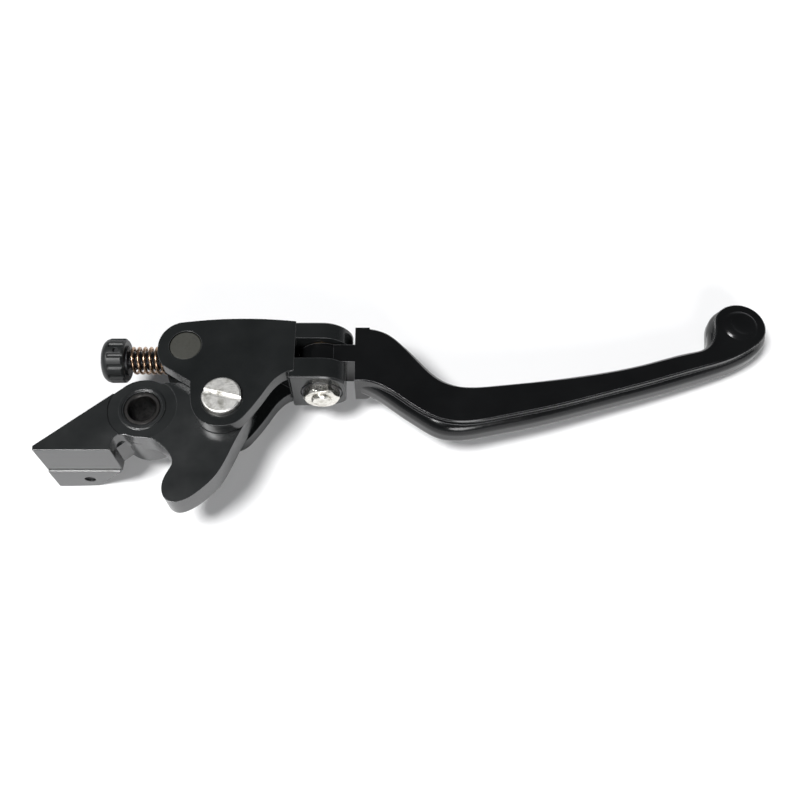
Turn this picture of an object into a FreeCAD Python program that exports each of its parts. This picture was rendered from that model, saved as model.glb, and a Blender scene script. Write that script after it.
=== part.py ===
import FreeCAD
import Part
import math
import os

# Folding, reach-adjustable motorcycle clutch lever, in millimetres.
# Origin: axis of the pivot bore, at the middle plane of the lever.
# +X runs along the lever to its ball end, +Y away from the handlebar,
# +Z along the pivot bore, out of the face with the slotted screw.

V = FreeCAD.Vector
X_AXIS = V(1, 0, 0)
Y_AXIS = V(0, 1, 0)
Z_AXIS = V(0, 0, 1)

# Levels along Z
PLATE_HALF = 4.25        # half thickness of the pivot block's plate and hook
BOSS_BOTTOM = -13.5      # lower end of the pivot boss
BEAK_BOTTOM = -22.0      # lower end of the beak block
SLOT_HALF = 4.75         # half width of the slot in the carrier
CARRIER_HALF = 9.5       # half thickness of the carrier
HINGE_R = 9.2            # round end of the hinge knuckles, and their half thickness
BLADE_TOP = 6.0          # top face of the blade
BLADE_STEP = 4.3         # foot of the step beside the blade's top face
BLADE_BOTTOM = -5.2      # bottom face of the blade
ROOT_BOTTOM = -6.4       # bottom face of the blade's root

# Pivot and beak
BUSH_BORE_R = 4.0
BUSH_R = 5.5
BOSS_R = 9.4
SPOT_FACE_R = 10.2
SPOT_FACE_DEEP = 0.45
COLLAR_R = 6.9
BEAK_Y = -13.6
BEAK_PAD = 0.5           # how far the beak's lower half stands proud
BEAK_PAD_TOP = -10.6

# Carrier pivot and adjuster
PIVOT_X = 24.3
PIVOT_Y = 0.8
SCREW_R = 4.0            # shoulder of the slotted carrier screw
SCREW_HEAD_R = 5.75
SLEEVE_R = 5.2
TRUNNION_X = 12.0
TRUNNION_Y = 18.2
TRUNNION_R = 4.8
TRUNNION_HALF = 9.2
TRUNNION_FLAT = 3.6
EAR_END_R = 8.1
ADJUSTER_R = 3.0
THRUST_X = 20.5          # face of the thrust pad
THRUST_GAP = 0.1
PAD_R = 3.0
KNOB_X = -14.4
KNOB_END_X = -7.25
KNOB_R = 6.8
WASHER = 0.6
SPRING_R = 4.3
SPRING_WIRE = 0.9
SPRING_TURNS = 7.5
RUN = 0.05               # radial running clearance
SIDE = 0.05              # side play of washers and flanges

# Folding hinge
HINGE_X = 52.3
HINGE_BLOCK_X = 43.1
HINGE_LOW_Y = 7.3
HINGE_HIGH_Y = 26.5
TONGUE_LOW_Y = 14.5
TONGUE_HIGH_Y = 20.4
BUSH_FLANGE = 0.4
POCKET_X = 44.6
LOW_KNUCKLE_END_X = 59.4
TONGUE_R = 7.0
PIN_R = 3.0
HINGE_BUSH_R = 4.4
SHOULDER_X = 62.3
NUT_FLATS = 10.0
NUT_Y = 4.9

# Ball end
BALL_X = 179.7
BALL_Y = 27.0
BALL_R = 8.9
BALL_TOP = 6.7
DISH_X = 181.0
DISH_Y = 27.6


def at(x, y, z=0.0):
    return V(x, y, z)


def line(p, q):
    return Part.LineSegment(at(*p), at(*q)).toShape()


def arc(p, q, r):
    return Part.Arc(at(*p), at(*q), at(*r)).toShape()


def curve(points):
    spline = Part.BSplineCurve()
    spline.interpolate([at(*p) for p in points])
    return spline.toShape()


def prism(edges, low, high):
    face = Part.Face(Part.Wire(edges))
    face.translate(V(0, 0, low))
    return face.extrude(V(0, 0, high - low))


def polygon(points, low, high):
    ends = points[1:] + points[:1]
    return prism([line(p, q) for p, q in zip(points, ends)], low, high)


def cylinder(radius, start, direction, length):
    return Part.makeCylinder(radius, length, start, direction)


def tube(outer, inner, start, direction, length):
    hole = cylinder(inner, start, direction, length)
    return cylinder(outer, start, direction, length).cut(hole)


def hexagon(flats, start, direction, length):
    corner = flats / math.sqrt(3)
    points = [
        (corner * math.cos(math.radians(60 * i)), corner * math.sin(math.radians(60 * i)))
        for i in range(6)
    ]
    body = polygon(points, 0, length)
    turn = FreeCAD.Rotation(Z_AXIS, direction)
    body.Placement = FreeCAD.Placement(start, turn)
    return body


def rim_edges(shape, axis, value):
    low = {"x": "XMin", "y": "YMin", "z": "ZMin"}[axis]
    high = {"x": "XMax", "y": "YMax", "z": "ZMax"}[axis]
    return [
        e for e in shape.Edges
        if abs(getattr(e.BoundBox, low) - value) < 0.01
        and abs(getattr(e.BoundBox, high) - value) < 0.01
    ]


def save(name, shape):
    shape.exportStep("parts/" + name + ".step")


# ---------------------------------------------------------------- pivot block

def plate():
    hook = [
        (-7.6, BEAK_Y), (-7.5, -11.0), (-6.6, -9.2), (-4.4, -8.5), (-1.6, -9.2), (1.5, -9.5),
        (4.6, -10.4), (7.4, -12.3), (9.9, -15.1), (10.7, -17.5), (9.8, -20.0), (8.7, -22.8),
        (8.6, -25.9), (9.8, -28.4), (12.2, -29.6), (14.9, -29.0), (19.5, -25.8), (23.3, -21.6),
        (26.5, -15.1), (29.4, -7.8), (32.2, -1.0), (32.6, 2.6), (31.0, 6.4),
    ]
    edges = [
        line((-29.9, BEAK_Y), (-7.6, BEAK_Y)),
        curve(hook),
        line((31.0, 6.4), (28.7, 12.0)),
        line((28.7, 12.0), (28.7, 21.3)),
        line((28.7, 21.3), (21.0, 21.3)),
        line((21.0, 21.3), (21.0, 13.6)),
        arc((21.0, 13.6), (19.6, 9.9), (16.4, 8.3)),
        line((16.4, 8.3), (4.4, 8.3)),
        arc((4.4, 8.3), (-1.4, 9.3), (-6.7, 6.6)),
        line((-6.7, 6.6), (-30.1, -12.3)),
        line((-30.1, -12.3), (-29.9, BEAK_Y)),
    ]
    return prism(edges, -PLATE_HALF, PLATE_HALF)


def beak_block():
    # Seen from above the block runs from the tip to the boss; its lower corner is cut away
    # on a slope, and its lower half stands a little proud as a stop pad.
    body = polygon([
        (-29.9, BEAK_Y), (-7.6, BEAK_Y), (-7.4, -10.6), (-4.6, -8.2), (0, 0), (-6.7, 6.6),
        (-30.1, -12.3),
    ], BEAK_BOTTOM, -1.0)
    pad = Part.makeBox(22.2, 2.0, BEAK_PAD_TOP - BEAK_BOTTOM,
                       V(-29.9, BEAK_Y - BEAK_PAD, BEAK_BOTTOM))
    slope = Part.Face(Part.makePolygon([
        V(-8.0, -20, -10.6), V(-18.7, -20, BEAK_BOTTOM - 1.0), V(8, -20, BEAK_BOTTOM - 1.0),
        V(8, -20, -10.6), V(-8.0, -20, -10.6),
    ])).extrude(V(0, 40, 0))
    return body.fuse(pad).cut(slope)


def pivot_block():
    boss = cylinder(BOSS_R, V(0, 0, BOSS_BOTTOM), Z_AXIS, -1.0 - BOSS_BOTTOM)
    boss = boss.makeChamfer(0.6, rim_edges(boss, "z", BOSS_BOTTOM))
    body = plate().fuse(boss).fuse(beak_block())
    spot = tube(SPOT_FACE_R, COLLAR_R, V(0, 0, PLATE_HALF - SPOT_FACE_DEEP), Z_AXIS, 2)
    bore = cylinder(BUSH_R, V(0, 0, BOSS_BOTTOM - 1), Z_AXIS, 30)
    rim = cylinder(BUSH_R + 0.5, V(0, 0, PLATE_HALF - 0.35), Z_AXIS, 2)
    pivot_hole = cylinder(SLEEVE_R, V(PIVOT_X, PIVOT_Y, -10), Z_AXIS, 20)
    pad_hole = cylinder(PAD_R, V(THRUST_X - 1, TRUNNION_Y, 0), X_AXIS, 5.5)
    screw_hole = cylinder(1.7, V(-19.0, BEAK_Y - 2, -16.6), Y_AXIS, 8.0)
    for cutter in (spot, bore, rim, pivot_hole, pad_hole, screw_hole):
        body = body.cut(cutter)
    return body.removeSplitter()


def pivot_bush():
    length = PLATE_HALF - 0.35 - BOSS_BOTTOM - 0.2
    body = tube(BUSH_R, BUSH_BORE_R, V(0, 0, BOSS_BOTTOM + 0.2), Z_AXIS, length)
    ends = rim_edges(body, "z", PLATE_HALF - 0.35) + rim_edges(body, "z", BOSS_BOTTOM + 0.2)
    return body.makeChamfer(0.35, ends)


def pivot_sleeve():
    length = 2 * PLATE_HALF
    start = V(PIVOT_X, PIVOT_Y, -PLATE_HALF)
    return tube(SLEEVE_R, SCREW_R + RUN, start, Z_AXIS, length)


def thrust_pad():
    body = cylinder(PAD_R, V(THRUST_X, TRUNNION_Y, 0), X_AXIS, 4.5)
    return body.makeChamfer(0.2, rim_edges(body, "x", THRUST_X))


def switch_screw():
    body = cylinder(1.7, V(-19.0, BEAK_Y - BEAK_PAD + 0.6, -16.6), Y_AXIS, 5.0)
    socket = hexagon(1.5, V(-19.0, BEAK_Y - BEAK_PAD, -16.6), Y_AXIS, 2.4)
    return body.cut(socket)


# -------------------------------------------------------------------- carrier

def carrier_outline():
    left = (TRUNNION_X - EAR_END_R, TRUNNION_Y)
    return [
        arc((9.8, 26.0), (6.2, 23.9), left),
        arc(left, (4.3, 14.6), (6.0, 11.4)),
        line((6.0, 11.4), (14.6, 6.0)),
        curve([
            (14.6, 6.0), (15.0, 1.6), (16.4, -3.8), (19.8, -7.4), (24.6, -8.4), (29.0, -7.2),
            (32.2, -3.8), (35.8, 1.6), (37.6, 4.6), (39.9, 7.4), (44.6, 9.7),
        ]),
        line((44.6, 9.7), (44.6, 26.5)),
        arc((44.6, 26.5), (27.0, 27.4), (9.8, 26.0)),
    ]


def hinge_block():
    # Two knuckles with round ends, joined to the carrier; the blade's tongue fits between.
    height = HINGE_HIGH_Y - HINGE_LOW_Y
    start = V(HINGE_BLOCK_X, HINGE_LOW_Y, -HINGE_R)
    body = Part.makeBox(HINGE_X - HINGE_BLOCK_X, height, 2 * HINGE_R, start)
    body = body.fuse(cylinder(HINGE_R, V(HINGE_X, HINGE_LOW_Y, 0), Y_AXIS, height))
    body = body.removeSplitter()
    sides = rim_edges(body, "y", HINGE_LOW_Y) + rim_edges(body, "y", HINGE_HIGH_Y)
    body = body.makeChamfer(0.5, sides)
    pocket = Part.makeBox(30, TONGUE_HIGH_Y - TONGUE_LOW_Y + 2 * (BUSH_FLANGE + SIDE), 40,
                          V(POCKET_X, TONGUE_LOW_Y - BUSH_FLANGE - SIDE, -20))
    low_end = Part.makeBox(10, 12, 40, V(LOW_KNUCKLE_END_X, 3.0, -20))
    nut_seat = cylinder(6.4, V(HINGE_X, HINGE_LOW_Y - 1, 0), Y_AXIS, 1.7)
    head_seat = cylinder(5.2, V(HINGE_X, HINGE_HIGH_Y - 2.4, 0), Y_AXIS, 5)
    pin_hole = cylinder(PIN_R, V(HINGE_X, 0, 0), Y_AXIS, 40)
    for cutter in (pocket, low_end, nut_seat, head_seat, pin_hole):
        body = body.cut(cutter)
    return body


def carrier():
    body = prism(carrier_outline(), -CARRIER_HALF, CARRIER_HALF)
    slot = prism([
        line((-5, -15), (42.6, -15)),
        line((42.6, -15), (42.6, 11.0)),
        line((42.6, 11.0), (38.0, 13.6)),
        line((38.0, 13.6), (38.0, 21.4)),
        arc((38.0, 21.4), (37.41, 22.81), (36.0, 23.4)),
        line((36.0, 23.4), (-5, 23.4)),
        line((-5, 23.4), (-5, -15)),
    ], -SLOT_HALF, SLOT_HALF)
    body = body.cut(slot).fuse(hinge_block())
    trunnion_hole = cylinder(TRUNNION_R + RUN, V(TRUNNION_X, TRUNNION_Y, -20), Z_AXIS, 40)
    shoulder_hole = cylinder(SCREW_R, V(PIVOT_X, PIVOT_Y, -6.5), Z_AXIS, 30)
    thread_hole = cylinder(3.0, V(PIVOT_X, PIVOT_Y, -20), Z_AXIS, 30)
    head_seat = cylinder(SCREW_HEAD_R + 0.35, V(PIVOT_X, PIVOT_Y, CARRIER_HALF - 0.7), Z_AXIS, 5)
    plunger_hole = cylinder(2.5, V(37.0, (TONGUE_LOW_Y + TONGUE_HIGH_Y) / 2, 0), X_AXIS, 8)
    for cutter in (trunnion_hole, shoulder_hole, thread_hole, head_seat, plunger_hole):
        body = body.cut(cutter)
    return body.removeSplitter()


def carrier_screw():
    seat = CARRIER_HALF - 0.7
    head_high = 2.4
    head = cylinder(SCREW_HEAD_R, V(PIVOT_X, PIVOT_Y, seat), Z_AXIS, head_high)
    head = head.makeFillet(0.5, rim_edges(head, "z", seat + head_high))
    shoulder = cylinder(SCREW_R, V(PIVOT_X, PIVOT_Y, -6.5), Z_AXIS, seat + 6.5)
    thread = cylinder(3.0, V(PIVOT_X, PIVOT_Y, -13.0), Z_AXIS, 6.6)
    slot = Part.makeBox(16, 1.7, 3, V(-8, -0.85, seat + head_high - 1.1))
    slot.rotate(V(0, 0, 0), Z_AXIS, -14)
    slot.translate(V(PIVOT_X, PIVOT_Y, 0))
    return head.fuse(shoulder).fuse(thread).cut(slot).removeSplitter()


def carrier_nut():
    top = V(PIVOT_X, PIVOT_Y, -CARRIER_HALF - 3.0)
    return hexagon(NUT_FLATS, top, Z_AXIS, 3.0).cut(cylinder(3.0, V(PIVOT_X, PIVOT_Y, -20), Z_AXIS, 20))


def thrust_washers():
    thick = SLOT_HALF - PLATE_HALF - 2 * SIDE
    upper = tube(7.4, SCREW_R + RUN, V(PIVOT_X, PIVOT_Y, PLATE_HALF + SIDE), Z_AXIS, thick)
    lower = tube(7.4, SCREW_R + RUN, V(PIVOT_X, PIVOT_Y, -PLATE_HALF - SIDE - thick), Z_AXIS, thick)
    return Part.makeCompound([upper, lower])


# ----------------------------------------------------------- hinge hardware

def hinge_bolt():
    seat = HINGE_HIGH_Y - 2.4
    head = cylinder(4.9, V(HINGE_X, seat, 0), Y_AXIS, 2.2)
    head = head.makeFillet(0.5, rim_edges(head, "y", seat + 2.2))
    shank = cylinder(PIN_R, V(HINGE_X, NUT_Y - 0.9, 0), Y_AXIS, seat - NUT_Y + 0.9)
    shank = shank.makeChamfer(0.5, rim_edges(shank, "y", NUT_Y - 0.9))
    socket = hexagon(4.0, V(HINGE_X, seat + 0.6, 0), Y_AXIS, 5)
    return head.fuse(shank).cut(socket).removeSplitter()


def hinge_nut():
    body = hexagon(NUT_FLATS, V(HINGE_X, NUT_Y, 0), Y_AXIS, HINGE_LOW_Y - NUT_Y)
    dome = cylinder(5.5, V(HINGE_X, NUT_Y, 0), Y_AXIS, 5)
    dome = dome.makeChamfer(0.6, rim_edges(dome, "y", NUT_Y))
    return body.common(dome).cut(cylinder(PIN_R, V(HINGE_X, 0, 0), Y_AXIS, 20))


def hinge_washer():
    return tube(6.0, PIN_R, V(HINGE_X, HINGE_LOW_Y, 0), Y_AXIS, 0.7)


def hinge_bushes():
    middle = (TONGUE_LOW_Y + TONGUE_HIGH_Y) / 2
    bushes = []
    for face, inward in ((TONGUE_LOW_Y, 1), (TONGUE_HIGH_Y, -1)):
        along = V(0, inward, 0)
        length = abs(middle - face) - 0.3
        barrel = tube(HINGE_BUSH_R, PIN_R + RUN, V(HINGE_X, face, 0), along, length)
        flange = tube(6.0, PIN_R + RUN, V(HINGE_X, face - inward * BUSH_FLANGE, 0), along, BUSH_FLANGE)
        bushes.append(barrel.fuse(flange).removeSplitter())
    return Part.makeCompound(bushes)


def plunger_body():
    y = (TONGUE_LOW_Y + TONGUE_HIGH_Y) / 2
    body = cylinder(2.5, V(38.2, y, 0), X_AXIS, POCKET_X - 38.2)
    bore = cylinder(1.6, V(39.7, y, 0), X_AXIS, 8)
    slot = Part.makeBox(0.8, 6, 0.7, V(38.0, y - 3, -0.35))
    return body.cut(bore).cut(slot)


def plunger_ball():
    y = (TONGUE_LOW_Y + TONGUE_HIGH_Y) / 2
    return Part.makeSphere(1.5, V(POCKET_X - 0.9, y, 0))


def plunger_spring():
    y = (TONGUE_LOW_Y + TONGUE_HIGH_Y) / 2
    body = coil(1.15, 0.32, 4.0, 2.4)
    body.rotate(V(0, 0, 0), Y_AXIS, 90)
    body.translate(V(39.9, y, 0))
    return body


# ------------------------------------------------------------------- adjuster

def coil(radius, wire, turns, length):
    # A round-wire spring along +Z made of half turns, each tilted to climb half the pitch
    climb = (length - wire) / (2 * turns)
    halves = []
    for i in range(int(2 * turns)):
        side = 1 if i % 2 == 0 else -1
        start = V(side * radius, 0, climb * i + wire / 2)
        middle = V(0, 0, climb * (i + 0.5) + wire / 2)
        axis = (start - middle).cross(V(0, side, 0))
        section = Part.Face(Part.Wire(Part.makeCircle(wire / 2, start, Y_AXIS)))
        halves.append(section.revolve(middle, axis, 180))
    return halves[0].multiFuse(halves[1:]).removeSplitter().Solids[0]


def adjuster_spring():
    start = KNOB_END_X + WASHER
    end = TRUNNION_X - TRUNNION_FLAT - WASHER
    body = coil(SPRING_R - SPRING_WIRE / 2, SPRING_WIRE, SPRING_TURNS, end - start - 0.1)
    body.rotate(V(0, 0, 0), Y_AXIS, 90)
    body.translate(V(start + 0.05, TRUNNION_Y, 0))
    return body


def trunnion():
    body = cylinder(TRUNNION_R, V(TRUNNION_X, TRUNNION_Y, -TRUNNION_HALF), Z_AXIS, 2 * TRUNNION_HALF)
    ends = rim_edges(body, "z", TRUNNION_HALF) + rim_edges(body, "z", -TRUNNION_HALF)
    body = body.makeChamfer(0.3, ends)
    for side in (-1, 1):
        flat = Part.makeBox(5, 12, 2 * SLOT_HALF - 0.2, V(-2.5, -6, -SLOT_HALF + 0.1))
        flat.translate(V(TRUNNION_X + side * (TRUNNION_FLAT + 2.5), TRUNNION_Y, 0))
        body = body.cut(flat)
    return body.cut(cylinder(ADJUSTER_R + RUN, V(0, TRUNNION_Y, 0), X_AXIS, 30))


def seat_washer():
    start = V(TRUNNION_X - TRUNNION_FLAT - WASHER, TRUNNION_Y, 0)
    return tube(4.5, ADJUSTER_R + RUN, start, X_AXIS, WASHER)


def knob_washer():
    return tube(4.6, ADJUSTER_R + RUN, V(KNOB_END_X + 0.02, TRUNNION_Y, 0), X_AXIS, WASHER - 0.02)


def adjuster_knob():
    length = KNOB_END_X - KNOB_X
    body = cylinder(KNOB_R, V(KNOB_X, TRUNNION_Y, 0), X_AXIS, length)
    body = body.makeFillet(2.6, rim_edges(body, "x", KNOB_X))
    body = body.makeChamfer(0.7, rim_edges(body, "x", KNOB_END_X))
    for i in range(12):
        turn = math.radians(30 * i + 15)
        y = TRUNNION_Y + (KNOB_R + 0.55) * math.cos(turn)
        z = (KNOB_R + 0.55) * math.sin(turn)
        body = body.cut(cylinder(1.0, V(KNOB_X + 2.4, y, z), X_AXIS, length))
    shaft = cylinder(ADJUSTER_R, V(KNOB_X + 2.2, TRUNNION_Y, 0), X_AXIS, length)
    pin = cylinder(0.8, V(-9.6, TRUNNION_Y, -8), Z_AXIS, 16)
    return body.cut(shaft).cut(pin)


def adjuster_screw():
    start = KNOB_X + 2.2
    end = THRUST_X - THRUST_GAP
    body = cylinder(ADJUSTER_R, V(start, TRUNNION_Y, 0), X_AXIS, end - start)
    body = body.makeChamfer(0.6, rim_edges(body, "x", end))
    groove = tube(5, 2.4, V(19.0, TRUNNION_Y, 0), X_AXIS, 0.6)
    pin = cylinder(0.8, V(-9.6, TRUNNION_Y, -8), Z_AXIS, 16)
    return body.cut(groove).cut(pin)


def screw_clip():
    body = tube(4.1, 2.4, V(19.0, TRUNNION_Y, 0), X_AXIS, 0.6)
    mouth = Part.makeBox(2, 10, 3.6, V(18.5, TRUNNION_Y, -1.8))
    return body.cut(mouth)


def knob_pin():
    return cylinder(0.8, V(-9.6, TRUNNION_Y, -6.1), Z_AXIS, 12.2)


# ---------------------------------------------------------------------- blade

def ball_points(radius, first, last, steps):
    turns = [math.radians(first + (last - first) * i / (steps - 1)) for i in range(steps)]
    return [(BALL_X + radius * math.cos(a), BALL_Y + radius * math.sin(a)) for a in turns]


def grip():
    # Round-edged lower body of the blade, from the root to the ball end
    points = [
        (SHOULDER_X + 1.7, 8.3), (66.5, 7.2), (69.3, 5.5), (75.3, 0.9), (81.4, -3.5), (87.2, -6.9),
        (93.2, -7.7), (101.0, -6.5), (115.0, -3.5), (135.6, 2.1), (151.1, 6.5), (167.1, 11.5),
        (178.2, 15.7),
    ]
    points += ball_points(BALL_R, -55, 185, 8)
    points += [
        (169.4, 21.9), (164.5, 20.0), (150.6, 16.1), (135.3, 12.7), (118.0, 10.1), (103.0, 8.3),
        (94.0, 8.3), (88.8, 10.3), (83.0, 15.7), (76.7, 22.5), (71.0, 25.9), (67.2, 26.4),
        (SHOULDER_X + 1.7, 26.4),
    ]
    edges = [curve(points), line(points[-1], points[0])]
    body = prism(edges, BLADE_BOTTOM, BLADE_STEP)
    rims = [
        e for e in rim_edges(body, "z", BLADE_BOTTOM) + rim_edges(body, "z", BLADE_STEP)
        if e.Length > 50
    ]
    return body.makeFillet(3.4, rims)


def top_land():
    # Raised top face of the blade, set in from the round edges by a small step
    points = [
        (SHOULDER_X, 8.3), (64.6, 8.15), (68.0, 7.4), (72.9, 4.9), (78.8, 0.5), (84.6, -3.2), (90.4, -5.2),
        (96.2, -5.4), (104.9, -3.9), (122.7, 0.1), (134.7, 3.4), (149.9, 7.7), (165.3, 12.4),
        (176.0, 16.0),
    ]
    points += ball_points(BALL_R - 1.2, -62, 188, 8)
    points += [
        (168.1, 19.1), (163.5, 17.6), (150.6, 14.0), (135.3, 10.5), (118.0, 8.0), (104.0, 6.5),
        (94.0, 6.2), (88.2, 8.1), (82.3, 13.6), (76.3, 20.6), (70.9, 24.9), (66.0, 26.2), (SHOULDER_X, 26.4),
    ]
    edges = [curve(points), line(points[-1], points[0])]
    body = prism(edges, 0.0, BLADE_TOP)
    rims = [e for e in rim_edges(body, "z", BLADE_TOP) if e.Length > 50]
    return body.makeChamfer(0.35, rims)


def ball_end():
    edges = [
        line((0, BLADE_BOTTOM - 0.6), (3.2, BLADE_BOTTOM - 0.6)),
        arc((3.2, BLADE_BOTTOM - 0.6), (7.6, -3.6), (BALL_R, 0.4)),
        arc((BALL_R, 0.4), (6.9, 4.7), (0, BALL_TOP)),
        line((0, BALL_TOP), (0, BLADE_BOTTOM - 0.6)),
    ]
    face = Part.Face(Part.Wire(edges))
    face.rotate(V(0, 0, 0), X_AXIS, 90)
    body = face.revolve(V(0, 0, 0), Z_AXIS, 360)
    body.translate(V(BALL_X, BALL_Y, 0))
    dish = Part.makeSphere(11.0, V(DISH_X, DISH_Y, BALL_TOP + 10.2))
    return body.cut(dish)


def root_block():
    width = 26.4 - 8.3
    body = Part.makeBox(4.4, width, BLADE_TOP - ROOT_BOTTOM, V(SHOULDER_X, 8.3, ROOT_BOTTOM))
    return body.makeFillet(1.6, [
        e for e in body.Edges
        if abs(e.BoundBox.XMin - SHOULDER_X - 4.4) < 0.01 and e.BoundBox.ZLength < 0.01
        and e.BoundBox.ZMax < 0
    ])


def tongue():
    # Round tongue on the hinge pin, with a heel below that stops against the carrier
    width = TONGUE_HIGH_Y - TONGUE_LOW_Y
    body = cylinder(TONGUE_R, V(HINGE_X, TONGUE_LOW_Y, 0), Y_AXIS, width)
    neck = Part.makeBox(SHOULDER_X - HINGE_X + 1, width, BLADE_TOP - ROOT_BOTTOM,
                        V(HINGE_X, TONGUE_LOW_Y, ROOT_BOTTOM))
    heel = Part.makeBox(HINGE_X - POCKET_X - 0.2, width, -2.5 - ROOT_BOTTOM,
                        V(POCKET_X + 0.2, TONGUE_LOW_Y, ROOT_BOTTOM))
    return body.fuse(neck).fuse(heel)


def blade():
    body = grip().fuse(top_land()).fuse(ball_end()).fuse(root_block()).fuse(tongue())
    middle = (TONGUE_LOW_Y + TONGUE_HIGH_Y) / 2
    bush_hole = cylinder(HINGE_BUSH_R, V(HINGE_X, 0, 0), Y_AXIS, 40)
    detent = Part.makeSphere(1.5, V(HINGE_X - TONGUE_R - 1.1, middle, 0))
    return body.cut(bush_hole).cut(detent).removeSplitter()


os.makedirs("parts", exist_ok=True)
PARTS = {
    "pivot_block": pivot_block,
    "pivot_bush": pivot_bush,
    "pivot_sleeve": pivot_sleeve,
    "thrust_pad": thrust_pad,
    "switch_screw": switch_screw,
    "carrier": carrier,
    "carrier_screw": carrier_screw,
    "carrier_nut": carrier_nut,
    "thrust_washers": thrust_washers,
    "hinge_bolt": hinge_bolt,
    "hinge_nut": hinge_nut,
    "hinge_washer": hinge_washer,
    "plunger_body": plunger_body,
    "plunger_ball": plunger_ball,
    "plunger_spring": plunger_spring,
    "trunnion": trunnion,
    "seat_washer": seat_washer,
    "adjuster_spring": adjuster_spring,
    "knob_washer": knob_washer,
    "adjuster_knob": adjuster_knob,
    "adjuster_screw": adjuster_screw,
    "screw_clip": screw_clip,
    "knob_pin": knob_pin,
    "blade": blade,
    "hinge_bushes": hinge_bushes,
}
for name, build in PARTS.items():
    save(name, build())
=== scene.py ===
"""Looks of the folding clutch lever: finishes, screw thread, coiled spring, table, lights and camera."""

import bpy
import bmesh
import math
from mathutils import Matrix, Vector


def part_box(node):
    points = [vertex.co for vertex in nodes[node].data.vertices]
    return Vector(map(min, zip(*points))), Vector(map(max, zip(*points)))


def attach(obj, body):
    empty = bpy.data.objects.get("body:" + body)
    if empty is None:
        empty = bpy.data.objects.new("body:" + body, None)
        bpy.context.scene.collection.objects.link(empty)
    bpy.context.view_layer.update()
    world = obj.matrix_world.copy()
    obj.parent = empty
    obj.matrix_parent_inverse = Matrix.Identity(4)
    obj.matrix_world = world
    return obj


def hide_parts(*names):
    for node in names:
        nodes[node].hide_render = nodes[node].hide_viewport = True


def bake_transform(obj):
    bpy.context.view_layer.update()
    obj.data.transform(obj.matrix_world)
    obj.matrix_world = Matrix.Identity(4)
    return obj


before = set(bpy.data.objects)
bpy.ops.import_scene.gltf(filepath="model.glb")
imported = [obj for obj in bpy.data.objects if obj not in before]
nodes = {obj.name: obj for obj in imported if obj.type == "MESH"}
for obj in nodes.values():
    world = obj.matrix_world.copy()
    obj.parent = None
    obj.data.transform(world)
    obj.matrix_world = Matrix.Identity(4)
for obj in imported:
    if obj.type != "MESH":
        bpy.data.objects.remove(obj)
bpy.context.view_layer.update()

MM = 0.001
FULL_TURN = 2 * math.pi

# The camera leans off the vertical towards the handlebar side.
CAMERA_TARGET = Vector((0.0759, 0.0047, 0.0))
CAMERA_TILT = math.radians(27.0)
CAMERA_DISTANCE = 0.291
SENSOR_WIDTH = 36.0
LENS = 43.65
CLIP_START = 0.01

# Each disc light: place, diameter, watts.
LIGHT_AIM = (0.07, 0.0, 0.0)
KEY_LIGHT = ((-1.055, -0.50, 2.75), 1.05, 103.0)
FILL_LIGHT = ((0.395, -2.50, 1.50), 1.25, 40.6)

# The surroundings are pale up to the first height and dim from the second; a height is the sine
# of the elevation.
SKY_TINT = (0.93, 0.96, 1.0, 1.0)
HORIZON_HEIGHT, HORIZON_STRENGTH = 0.05, 0.50
OVERHEAD_HEIGHT, OVERHEAD_STRENGTH = 0.38, 0.09

# The table top touches the beak's lowest corner and the underside of the ball end.
TABLE_HALF_WIDTH = 3
BEAK_INSET = 6 * MM
BEAK_SINK = 0.1 * MM
BALL_INSET = 9 * MM
BALL_BOTTOM_Z = -5.9 * MM

# Bevels that break the sharp CAD edges.
BROKEN_EDGE_ANGLE = math.radians(35)
BROKEN_EDGE_SEGMENTS = 2
BROKEN_EDGES = {"pivot_block": 0.40 * MM, "carrier": 0.80 * MM}

# Adjuster screw: its thread, and the lead-in that thins both ends.
THREAD_PITCH = 1.0 * MM
THREAD_DEPTH = 0.55 * MM
THREAD_FLANK = 1.35
THREAD_CREST = 0.18
THREAD_AROUND = 48
THREAD_ROWS_PER_PITCH = 10
LEAD_IN_LENGTH = 0.5 * MM
LEAD_IN_SLOPE = 0.7

# Adjuster spring.
WIRE = 0.9 * MM
SPRING_TURNS = 7.5
WIRE_AROUND = 16
STEPS_PER_TURN = 40

# Linear colours. A finish runs from one to its partner in patches.
BLACK = (0.0080, 0.0090, 0.0092)
BLACK_PATCH = (0.0120, 0.0132, 0.0134)
GLOSS_BLACK = (0.0030, 0.0032, 0.0034)
GLOSS_BLACK_PATCH = (0.0050, 0.0053, 0.0056)
# Worn-through aluminium, also used as the painted highlight along sharp edges.
BARE_AND_HIGHLIGHT = (0.42, 0.42, 0.43)
PAPER = (0.86, 0.86, 0.865)
PAPER_PATCH = (0.88, 0.88, 0.885)

# Mill and draw marks: waves per metre along each axis.
PLATE_LINES = (60, 60, 3800)
BLADE_LINES = (110, 2600, 2600)
KNOB_LINES = (3200, 200, 200)

# Numbers shared by the finishes.
NOISE_LOW, NOISE_HIGH = 0.3, 0.7
FLAT_DOT, SHARP_DOT = 0.995, 0.86
EDGE_SAMPLES = 6
GRAIN_DEPTH = 0.006 * MM
LATHE_DEPTH = 0.010 * MM
# The painted edge highlight on the blade is full up to this far short of the ball end's tip and fades out
# over the next length.
BALL_UNHIGHLIGHTED = 24 * MM
HIGHLIGHT_FADE = 8 * MM
EVERYWHERE = 1.0
METAL_IOR = 1.6


# ------------------------------------------------------------------ materials

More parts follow.
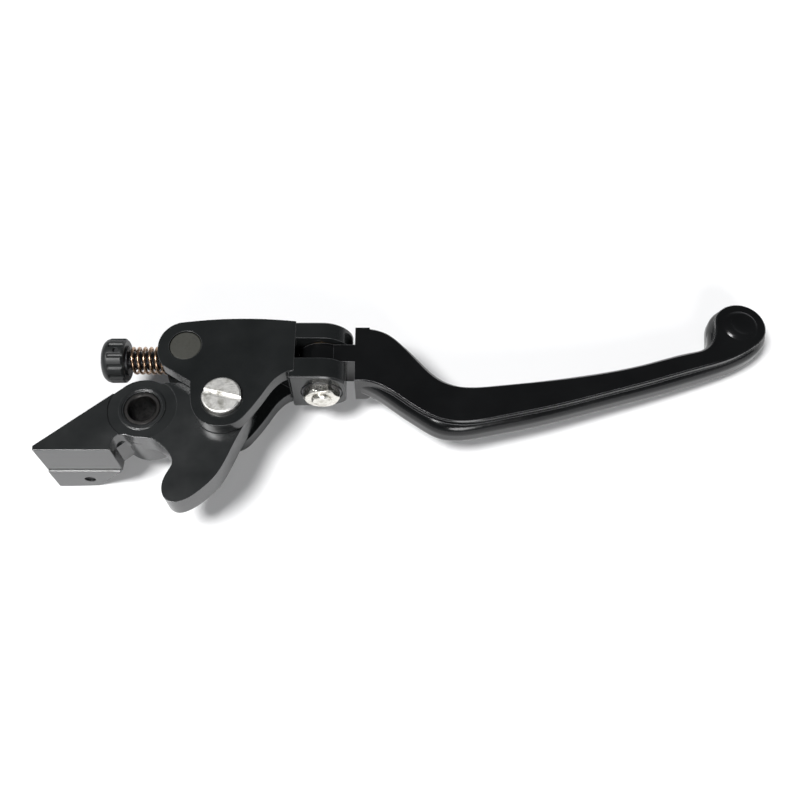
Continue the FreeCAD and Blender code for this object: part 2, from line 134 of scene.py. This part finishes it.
class Shader:
    """Node tree of one material, built round a Principled shader."""

    def __init__(self, name, metallic, ior):
        self.material = bpy.data.materials.new(name)
        self.material.use_nodes = True
        self.tree = self.material.node_tree
        self.tree.nodes.clear()
        out = self.add("ShaderNodeOutputMaterial")
        self.surface = self.add("ShaderNodeBsdfPrincipled")
        self.surface.inputs["Metallic"].default_value = metallic
        self.surface.inputs["IOR"].default_value = ior
        self.link(self.surface.outputs[0], out.inputs["Surface"])
        self.place = self.add("ShaderNodeTexCoord").outputs["Object"]
        self.normal = None

    def add(self, kind):
        return self.tree.nodes.new(kind)

    def link(self, source, target):
        self.tree.links.new(source, target)

    def vector_math(self, operation, vector, amount):
        node = self.add("ShaderNodeVectorMath")
        node.operation = operation
        self.link(vector, node.inputs[0])
        node.inputs[1].default_value = amount
        return node.outputs[0]

    def mapped(self, scale, centre):
        """The object's coordinates from centre, stretched by scale."""
        shifted = self.vector_math("SUBTRACT", self.place, centre)
        return self.vector_math("MULTIPLY", shifted, scale)

    def noise(self, scale, detail, rough=0.55, centre=(0, 0, 0)):
        """Noise of so many waves per metre: one number, or one for each axis."""
        if isinstance(scale, int):
            scale = (scale, scale, scale)
        node = self.add("ShaderNodeTexNoise")
        node.inputs["Scale"].default_value = 1.0
        node.inputs["Detail"].default_value = detail
        node.inputs["Roughness"].default_value = rough
        self.link(self.mapped(scale, centre), node.inputs["Vector"])
        return node.outputs["Fac"]

    def rings(self, centre, spacing):
        """Turning marks: fine circles round a Z axis through centre."""
        length = self.add("ShaderNodeVectorMath")
        length.operation = "LENGTH"
        self.link(self.mapped((1, 1, 0), centre), length.inputs[0])
        wave = self.math("MULTIPLY", length.outputs["Value"], FULL_TURN / spacing)
        return self.math("SINE", wave)

    def math(self, operation, *values):
        node = self.add("ShaderNodeMath")
        node.operation = operation
        for slot, value in zip(node.inputs, values):
            if isinstance(value, float):
                slot.default_value = value
            else:
                self.link(value, slot)
        return node.outputs[0]

    def ramp(self, value, low=NOISE_LOW, high=NOISE_HIGH, to_low=0.0, to_high=1.0):
        """Turns the range low to high into to_low to to_high; by default a noise's range into 0 to 1."""
        node = self.add("ShaderNodeMapRange")
        node.inputs["From Min"].default_value = low
        node.inputs["From Max"].default_value = high
        node.inputs["To Min"].default_value = to_low
        node.inputs["To Max"].default_value = to_high
        self.link(value, node.inputs["Value"])
        return node.outputs["Result"]

    def mix(self, factor, a, b):
        node = self.add("ShaderNodeMix")
        node.data_type = "RGBA"
        self.link(factor, node.inputs["Factor"])
        sockets = [socket for socket in node.inputs if socket.type == "RGBA"]
        for socket, value in zip(sockets, (a, b)):
            if isinstance(value, tuple):
                socket.default_value = (*value, 1.0)
            else:
                self.link(value, socket)
        return [socket for socket in node.outputs if socket.type == "RGBA"][0]

    def edge(self, radius):
        """1 along sharp edges, 0 on flat faces, and a rounded normal for the bumps to build on."""
        bevel = self.add("ShaderNodeBevel")
        bevel.samples = EDGE_SAMPLES
        bevel.inputs["Radius"].default_value = radius
        self.normal = bevel.outputs["Normal"]
        geometry = self.add("ShaderNodeNewGeometry")
        dot = self.add("ShaderNodeVectorMath")
        dot.operation = "DOT_PRODUCT"
        self.link(bevel.outputs["Normal"], dot.inputs[0])
        self.link(geometry.outputs["Normal"], dot.inputs[1])
        return self.ramp(dot.outputs["Value"], FLAT_DOT, SHARP_DOT)

    def bump(self, height, strength, distance):
        node = self.add("ShaderNodeBump")
        node.inputs["Strength"].default_value = strength
        node.inputs["Distance"].default_value = distance
        self.link(height, node.inputs["Height"])
        if self.normal is not None:
            self.link(self.normal, node.inputs["Normal"])
        self.normal = node.outputs["Normal"]

    def done(self, color, roughness):
        self.link(color, self.surface.inputs["Base Color"])
        self.link(roughness, self.surface.inputs["Roughness"])
        self.link(self.normal, self.surface.inputs["Normal"])
        return self.material


def lighter(color, gain):
    return tuple(min(1.0, part * gain) for part in color)


def anodised(name, dark, light, rough, wear, edge_highlight, lines, line_depth, ior, highlight_end=EVERYWHERE):
    """Anodised aluminium with mill lines, fine grain and edges painted lighter: a painted highlight along
    every sharp edge up to a given X, with scuffed wear on top of it."""
    s = Shader(name, 0.0, ior)
    edges = s.edge(0.30 * MM)
    patch = s.noise(90, detail=5)
    grain = s.noise(5200, detail=2)
    marks = s.noise(lines, detail=3, rough=0.6)
    scuffs = s.ramp(s.noise(420, detail=6, rough=0.7), low=0.5, high=0.72)
    along = s.add("ShaderNodeSeparateXYZ")
    s.link(s.place, along.inputs[0])
    # Painted highlight: the sharp edges are painted lighter, at full strength up to the given X; the
    # scuffs add real wear to the edges.
    painted_edge_highlight = s.ramp(along.outputs["X"], highlight_end, highlight_end + HIGHLIGHT_FADE, edge_highlight, 0.0)
    wear_and_highlight = s.math("MULTIPLY", edges, s.math("MULTIPLY_ADD", scuffs, wear, painted_edge_highlight))
    s.bump(marks, strength=0.35, distance=line_depth)
    s.bump(grain, strength=0.25, distance=GRAIN_DEPTH)
    color = s.mix(s.ramp(patch), dark, light)
    color = s.mix(wear_and_highlight, color, BARE_AND_HIGHLIGHT)
    base = s.ramp(patch, to_low=rough * 0.85, to_high=rough * 1.15)
    streaks = s.ramp(marks, to_low=-0.03, to_high=0.05)
    return s.done(color, s.math("ADD", base, streaks))


def turned(name, dark, light, metallic, rough, centre, spacing, grime):
    """Lathe-turned metal with circular marks round a Z axis and grime in patches."""
    s = Shader(name, metallic, METAL_IOR)
    edges = s.edge(0.18 * MM)
    patch = s.noise(700, detail=5, rough=0.65, centre=centre)
    s.bump(s.rings(centre, spacing), strength=0.30, distance=LATHE_DEPTH)
    s.bump(s.noise(4200, detail=2), strength=0.2, distance=GRAIN_DEPTH)
    dirty = s.math("MULTIPLY", s.ramp(patch, low=0.50, high=0.68), grime)
    color = s.mix(dirty, light, dark)
    # Painted highlight: the sharp edges are painted lighter than the metal itself.
    color = s.mix(s.math("MULTIPLY", edges, 0.35), color, lighter(light, 1.35))
    return s.done(color, s.ramp(patch, to_low=rough * 0.8, to_high=rough * 1.25))


def brushed(name, dark, light, rough, lines, line_depth, grime, patches=800):
    """Bare metal with straight brush or draw marks."""
    s = Shader(name, 1.0, METAL_IOR)
    edges = s.edge(0.15 * MM)
    patch = s.noise(patches, detail=4, rough=0.6)
    marks = s.noise(lines, detail=3, rough=0.6)
    s.bump(marks, strength=0.35, distance=line_depth)
    dirty = s.math("MULTIPLY", s.ramp(patch, low=0.45, high=0.7), grime)
    color = s.mix(dirty, light, dark)
    # Painted highlight: the sharp edges are painted lighter than the metal itself.
    color = s.mix(s.math("MULTIPLY", edges, 0.4), color, lighter(light, 1.4))
    base = s.ramp(patch, to_low=rough * 0.85, to_high=rough * 1.2)
    streaks = s.ramp(marks, to_low=-0.05, to_high=0.06)
    return s.done(color, s.math("ADD", base, streaks))


def paper(name):
    """Matt white paper."""
    s = Shader(name, 0.0, 1.4)
    patch = s.noise(14, detail=3)
    s.bump(s.noise(900, detail=3), strength=0.1, distance=0.02 * MM)
    color = s.mix(s.ramp(patch), PAPER, PAPER_PATCH)
    return s.done(color, s.ramp(patch, to_low=0.75, to_high=0.85))


def centre_of(name):
    low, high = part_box(name)
    return tuple((a + b) / 2 for a, b in zip(low, high))


# Where the painted edge highlight on the blade ends.
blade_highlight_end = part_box("blade")[1][0] - BALL_UNHIGHLIGHTED

# Besides the wear, each anodised finish has its sharp edges painted lighter as a highlight, strongest on
# the blade and the carrier.
block_finish = anodised("block_anodised", BLACK, BLACK_PATCH, rough=0.21, wear=0.12, edge_highlight=0.05,
                        lines=PLATE_LINES, line_depth=0.010 * MM, ior=1.8)
carrier_finish = anodised("carrier_anodised", BLACK, BLACK_PATCH, rough=0.20, wear=0.12, edge_highlight=0.14,
                          lines=PLATE_LINES, line_depth=0.010 * MM, ior=1.45)
blade_finish = anodised("blade_anodised", GLOSS_BLACK, GLOSS_BLACK_PATCH, rough=0.15, wear=0.10,
                        edge_highlight=0.34, lines=BLADE_LINES, line_depth=0.003 * MM, ior=1.42,
                        highlight_end=blade_highlight_end)
knob_finish = anodised("knob_anodised", BLACK, BLACK_PATCH, rough=0.40, wear=0.12, edge_highlight=0.02,
                       lines=KNOB_LINES, line_depth=0.008 * MM, ior=1.45)
trunnion_finish = turned("trunnion_phosphate", (0.020, 0.0205, 0.016), (0.034, 0.034, 0.027),
                         metallic=0.15, rough=0.5, centre=centre_of("trunnion"),
                         spacing=0.28 * MM, grime=0.8)
bush_finish = turned("bush_steel", (0.012, 0.012, 0.012), (0.045, 0.043, 0.042),
                     metallic=1.0, rough=0.42, centre=centre_of("pivot_bush"),
                     spacing=0.16 * MM, grime=0.7)
screw_finish = brushed("slotted_steel", (0.22, 0.215, 0.19), (0.86, 0.85, 0.82), rough=0.42,
                       lines=(450, 2600, 450), line_depth=0.014 * MM, grime=0.95, patches=330)
nut_finish = brushed("nut_steel", (0.22, 0.20, 0.16), (0.76, 0.74, 0.69), rough=0.26,
                     lines=(900, 900, 2400), line_depth=0.010 * MM, grime=0.8, patches=380)
dark_steel = brushed("dark_steel", (0.03, 0.03, 0.03), (0.10, 0.10, 0.105), rough=0.38,
                     lines=900, line_depth=0.01 * MM, grime=0.6)
bronze = brushed("sintered_bronze", (0.16, 0.09, 0.04), (0.42, 0.28, 0.14), rough=0.45,
                 lines=1500, line_depth=0.01 * MM, grime=0.6)
spring_finish = brushed("oil_tempered_wire", (0.060, 0.032, 0.020), (0.50, 0.34, 0.23), rough=0.26,
                        lines=900, line_depth=0.008 * MM, grime=0.7)

# The CAD nodes that aren't named here are dark steel.
FINISHES = {
    "pivot_block": block_finish,
    "pivot_bush": bush_finish,
    "carrier": carrier_finish,
    "carrier_screw": screw_finish,
    "carrier_nut": nut_finish,
    "thrust_washers": bronze,
    "hinge_bolt": nut_finish,
    "hinge_nut": nut_finish,
    "trunnion": trunnion_finish,
    "adjuster_spring": spring_finish,
    "adjuster_knob": knob_finish,
    "blade": blade_finish,
    "hinge_bushes": bronze,
}
for node_name, node in nodes.items():
    for material_slot in node.material_slots:
        material_slot.material = FINISHES.get(node_name, dark_steel)


# --------------------------------------------------------------------- meshes

def add_object(name, data):
    made = bpy.data.objects.new(name, data)
    bpy.context.collection.objects.link(made)
    return made


def add_mesh(name, mesh, finish):
    """Turns a bmesh into an object of one finish."""
    data = bpy.data.meshes.new(name)
    mesh.to_mesh(data)
    mesh.free()
    data.materials.append(finish)
    return add_object(name, data)


def add_tube(name, rows, finish):
    """A smooth tube through closed rows of points, with flat ends."""
    mesh = bmesh.new()
    loops = [[mesh.verts.new(point) for point in row] for row in rows]
    for a, b in zip(loops, loops[1:]):
        for k in range(len(a)):
            n = (k + 1) % len(a)
            mesh.faces.new((a[k], b[k], b[n], a[n]))
    mesh.faces.new(list(reversed(loops[0])))
    mesh.faces.new(loops[-1])
    bmesh.ops.recalc_face_normals(mesh, faces=mesh.faces)
    tube = add_mesh(name, mesh, finish)
    for face in tube.data.polygons:
        face.use_smooth = len(face.vertices) == 4
    return tube


# ---------------------------------------------------- threaded adjuster screw

def thread_rows(box_low, box_high):
    """Rows along X that carry one real helical thread and fill the box of the CAD screw."""
    y = (box_low[1] + box_high[1]) / 2
    z = (box_low[2] + box_high[2]) / 2
    radius = (box_high[1] - box_low[1]) / 2
    start = box_low[0]
    end = box_high[0]
    count = int((end - start) / (THREAD_PITCH / THREAD_ROWS_PER_PITCH))
    rows = []
    for i in range(count + 1):
        x = start + (end - start) * i / count
        to_end = min(x - start, end - x)
        lead_in = max(0.0, LEAD_IN_LENGTH - to_end) * LEAD_IN_SLOPE
        row = []
        for k in range(THREAD_AROUND):
            angle = FULL_TURN * k / THREAD_AROUND
            phase = (x / THREAD_PITCH - k / THREAD_AROUND) % 1.0
            ridge = abs(2 * phase - 1)
            cut = THREAD_DEPTH * min(1.0, max(0.0, THREAD_FLANK * ridge - THREAD_CREST))
            r = radius - cut - lead_in
            row.append((x, y + r * math.cos(angle), z + r * math.sin(angle)))
        rows.append(row)
    return rows


low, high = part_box("adjuster_screw")
thread = add_tube("adjuster_thread", thread_rows(low, high), dark_steel)
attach(thread, "knob")
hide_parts("adjuster_screw")


# ------------------------------------------------------------ adjuster spring

def coil_rows(box_low, box_high):
    """Rows round a wire that winds along X and fills the box of the CAD spring."""
    y = (box_low[1] + box_high[1]) / 2
    z = (box_low[2] + box_high[2]) / 2
    radius = (box_high[2] - box_low[2]) / 2 - WIRE / 2
    start = box_low[0] + WIRE / 2
    rise = box_high[0] - box_low[0] - WIRE
    forward = Vector((1, 0, 0))
    steps = int(SPRING_TURNS * STEPS_PER_TURN)
    rows = []
    for i in range(steps + 1):
        turn = FULL_TURN * SPRING_TURNS * i / steps
        out = Vector((0, math.sin(turn), -math.cos(turn)))
        middle = Vector((start + rise * i / steps, y, z)) + radius * out
        row = []
        for k in range(WIRE_AROUND):
            angle = FULL_TURN * k / WIRE_AROUND
            row.append(middle + WIRE / 2 * (math.cos(angle) * out + math.sin(angle) * forward))
        rows.append(row)
    return rows


low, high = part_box("adjuster_spring")
spring = add_tube("spring_coil", coil_rows(low, high), spring_finish)
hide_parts("adjuster_spring")
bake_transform(spring)


# ------------------------------------------------------------------ softening

for node_name, width in BROKEN_EDGES.items():
    bevel = nodes[node_name].modifiers.new("broken_edges", "BEVEL")
    bevel.width = width
    bevel.segments = BROKEN_EDGE_SEGMENTS
    bevel.limit_method = "ANGLE"
    bevel.angle_limit = BROKEN_EDGE_ANGLE
    bevel.use_clamp_overlap = True


# ---------------------------------------------------------------------- stage

def floor():
    """A pale table top, tilted along X so that it touches the beak and the ball end."""
    block_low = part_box("pivot_block")[0]
    blade_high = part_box("blade")[1]
    x0 = block_low[0] + BEAK_INSET
    x1 = blade_high[0] - BALL_INSET
    z0 = block_low[2] - BEAK_SINK
    slope = (BALL_BOTTOM_Z - z0) / (x1 - x0)
    mesh = bmesh.new()
    corners = []
    for side_x, side_y in ((-1, -1), (1, -1), (1, 1), (-1, 1)):
        x = side_x * TABLE_HALF_WIDTH
        y = side_y * TABLE_HALF_WIDTH
        corners.append(mesh.verts.new((x, y, z0 + (x - x0) * slope)))
    mesh.faces.new(corners)
    top = add_mesh("table_top", mesh, paper("white_paper"))


def aim(thing, target):
    """Turns a lamp or the camera so that it looks at target."""
    thing.rotation_euler = (Vector(target) - thing.location).to_track_quat("-Z", "Y").to_euler()


def disc_light(name, place, diameter, watts):
    data = bpy.data.lights.new(name, "AREA")
    data.shape = "DISK"
    data.size = diameter
    data.energy = watts
    lamp = add_object(name, data)
    lamp.location = place
    aim(lamp, LIGHT_AIM)


def camera():
    data = bpy.data.cameras.new("camera")
    data.sensor_width = SENSOR_WIDTH
    data.lens = LENS
    data.clip_start = CLIP_START
    view = add_object("camera", data)
    direction = Vector((0, -math.sin(CAMERA_TILT), math.cos(CAMERA_TILT)))
    view.location = CAMERA_TARGET + CAMERA_DISTANCE * direction
    aim(view, CAMERA_TARGET)
    bpy.context.scene.camera = view


def surroundings():
    """Dim overhead and pale towards the horizon, like a studio sweep behind the table."""
    sky = bpy.data.worlds.new("studio")
    sky.use_nodes = True
    tree = sky.node_tree
    direction = tree.nodes.new("ShaderNodeTexCoord")
    split = tree.nodes.new("ShaderNodeSeparateXYZ")
    strength = tree.nodes.new("ShaderNodeMapRange")
    strength.inputs["From Min"].default_value = HORIZON_HEIGHT
    strength.inputs["From Max"].default_value = OVERHEAD_HEIGHT
    strength.inputs["To Min"].default_value = HORIZON_STRENGTH
    strength.inputs["To Max"].default_value = OVERHEAD_STRENGTH
    background = tree.nodes["Background"]
    background.inputs["Color"].default_value = SKY_TINT
    tree.links.new(direction.outputs["Generated"], split.inputs[0])
    tree.links.new(split.outputs["Z"], strength.inputs["Value"])
    tree.links.new(strength.outputs["Result"], background.inputs["Strength"])
    bpy.context.scene.world = sky


floor()
camera()
surroundings()
disc_light("key", *KEY_LIGHT)
disc_light("fill", *FILL_LIGHT)
bpy.context.scene.view_settings.view_transform = "Standard"
